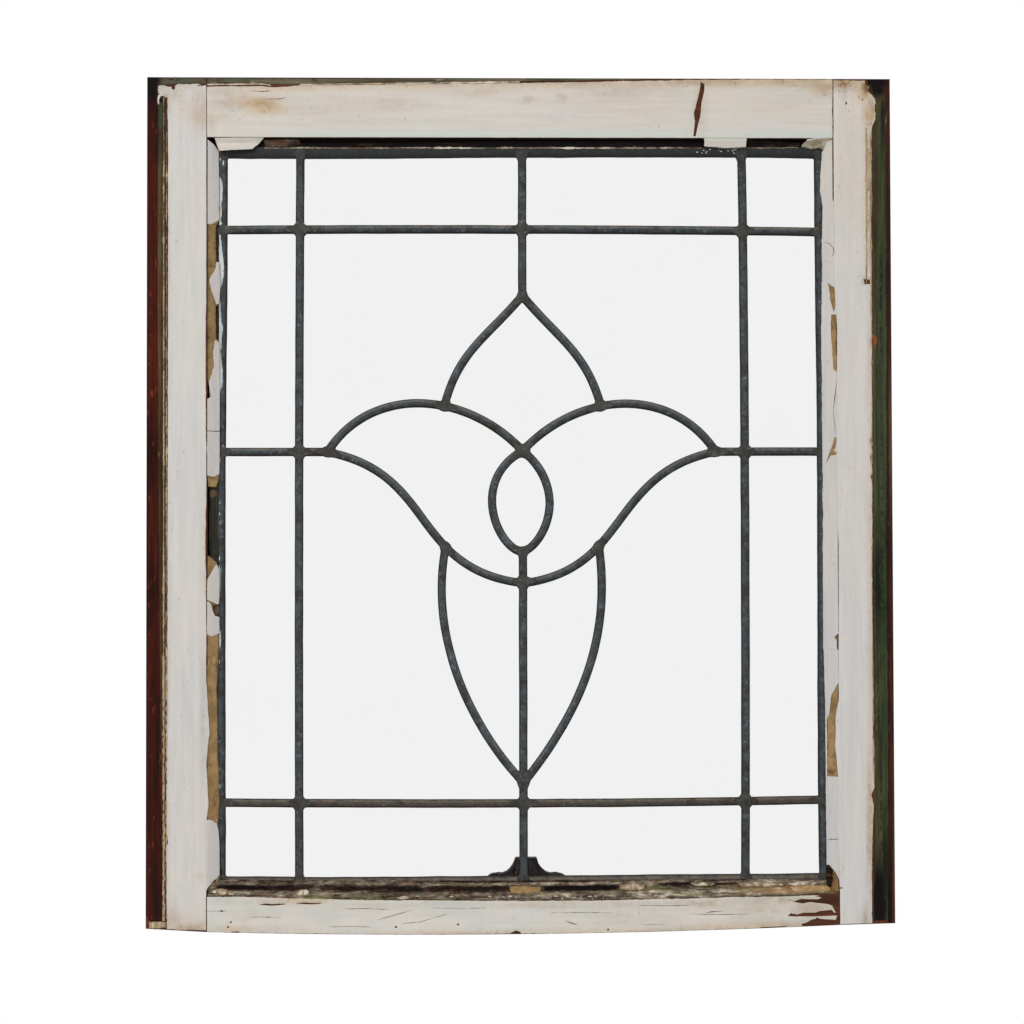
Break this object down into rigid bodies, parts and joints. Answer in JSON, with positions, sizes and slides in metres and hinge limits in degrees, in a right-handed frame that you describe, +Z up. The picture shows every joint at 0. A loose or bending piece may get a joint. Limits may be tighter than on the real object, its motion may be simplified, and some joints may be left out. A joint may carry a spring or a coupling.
{
  "type": "leaded glass window sash",
  "caption": "Old wooden window sash holding a clear leaded glass panel with a flower outline, weathered paint and broken putty outside, lock keeper inside.",
  "frame": {"origin": "the middle of the sash's top edge between its outside and inside faces, above the centre line of the glass opening", "axes": "+Z up, -Y towards the outside (putty side), +X to the right as seen from outside"},
  "size_m": [0.6095, 0.047, 0.6997],
  "materials": {
    "painted_wood": "matte",
    "lead": "satin",
    "window_glass": "gloss",
    "putty": "matte",
    "keeper_iron": "satin",
    "screw_steel": "satin"
  },
  "bodies": {
    "root": {"left_stile": "painted_wood", "right_stile": "painted_wood", "top_rail": "painted_wood", "meeting_rail": "painted_wood", "border_came": "lead", "grid_came": "lead", "bud_came": "lead", "left_petal_came": "lead", "right_petal_came": "lead", "eye_came": "lead", "stem_came": "lead", "left_leaf_came": "lead", "right_leaf_came": "lead", "top_left_corner_glass": "window_glass", "top_left_glass": "window_glass", "top_right_glass": "window_glass", "top_right_corner_glass": "window_glass", "left_upper_border_glass": "window_glass", "right_upper_border_glass": "window_glass", "left_lower_border_glass": "window_glass", "right_lower_border_glass": "window_glass", "left_upper_field_glass": "window_glass", "right_upper_field_glass": "window_glass", "left_lower_field_glass": "window_glass", "right_lower_field_glass": "window_glass", "bud_glass": "window_glass", "left_petal_glass": "window_glass", "right_petal_glass": "window_glass", "eye_glass": "window_glass", "left_leaf_glass": "window_glass", "right_leaf_glass": "window_glass", "bottom_left_corner_glass": "window_glass", "bottom_left_glass": "window_glass", "bottom_right_glass": "window_glass", "bottom_right_corner_glass": "window_glass", "left_putty_top": "putty", "left_putty_upper": "putty", "left_putty_middle": "putty", "left_putty_lower": "putty", "right_putty_upper": "putty", "right_putty_lower": "putty", "top_putty_left": "putty", "top_putty_middle": "putty", "top_putty_right": "putty", "bottom_putty": "putty", "keeper": "keeper_iron", "keeper_screw_left": "screw_steel", "keeper_screw_right": "screw_steel"}
  },
  "joints": []
}
